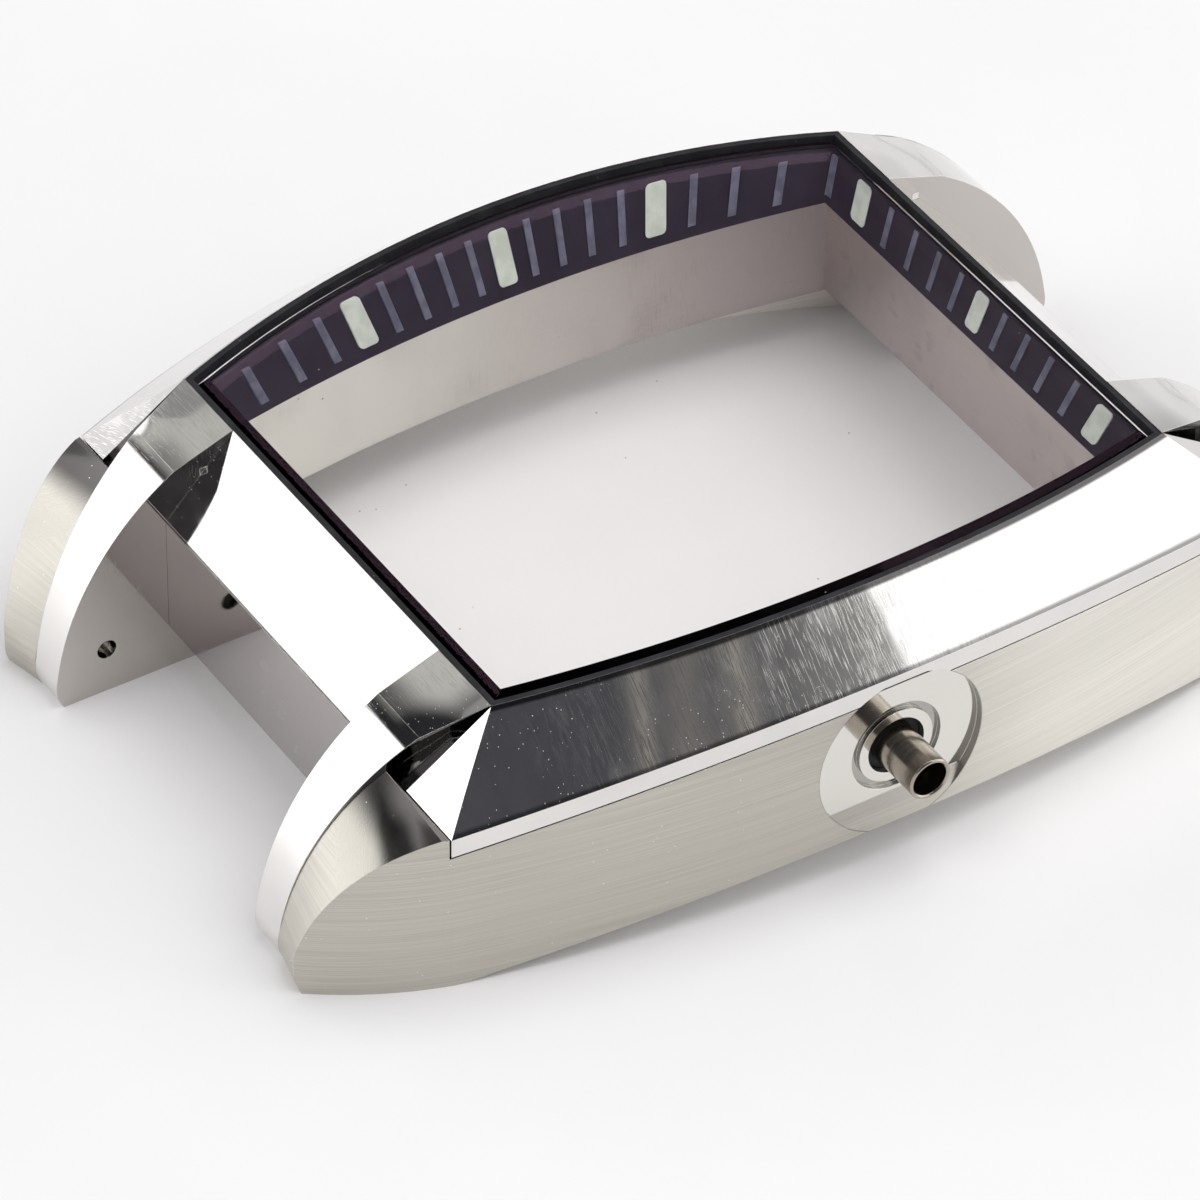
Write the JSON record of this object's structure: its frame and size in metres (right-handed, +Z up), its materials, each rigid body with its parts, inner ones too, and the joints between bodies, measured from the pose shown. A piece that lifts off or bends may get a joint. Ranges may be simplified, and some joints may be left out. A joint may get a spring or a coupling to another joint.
{
  "type": "empty wristwatch case",
  "caption": "Empty rectangular curved watch case with domed crystal, wide polished bezel, brushed side cheeks, split lugs and an open crown tube.",
  "frame": {"origin": "centre of the case back's seat, at the middle of its four tapped holes", "axes": "+Z up through the crystal, +Y to twelve o'clock, +X to the crown's side"},
  "size_m": [0.0408, 0.0562, 0.0135],
  "materials": {
    "polished_steel": "mirror polished",
    "brushed_steel": "fine brushing along the case",
    "sapphire": "clear with a faint tint",
    "black_rubber": "matte",
    "dark_flange": "dark satin",
    "luminous_paint": "matte",
    "mark_paint": "satin",
    "tube_steel": "turned",
    "screw_steel": "turned"
  },
  "bodies": {
    "root": {"bezel": "polished_steel", "bezel_gasket": "black_rubber", "case_middle": "polished_steel", "case_middle_screws": "screw_steel", "cheek_dowels": "screw_steel", "cheek_left": "brushed_steel", "cheek_right": "brushed_steel", "cheek_screws_left": "screw_steel", "cheek_screws_right": "screw_steel", "crown_tube": "tube_steel", "crown_tube_seal": "black_rubber", "crystal": "sapphire", "crystal_gasket": "black_rubber", "flange_ring": "dark_flange", "hour_blocks": "luminous_paint", "lug_band_12_left": "polished_steel", "lug_band_12_right": "polished_steel", "lug_band_6_left": "polished_steel", "lug_band_6_right": "polished_steel", "lug_dowels": "screw_steel", "minute_marks": "mark_paint"}
  },
  "joints": []
}
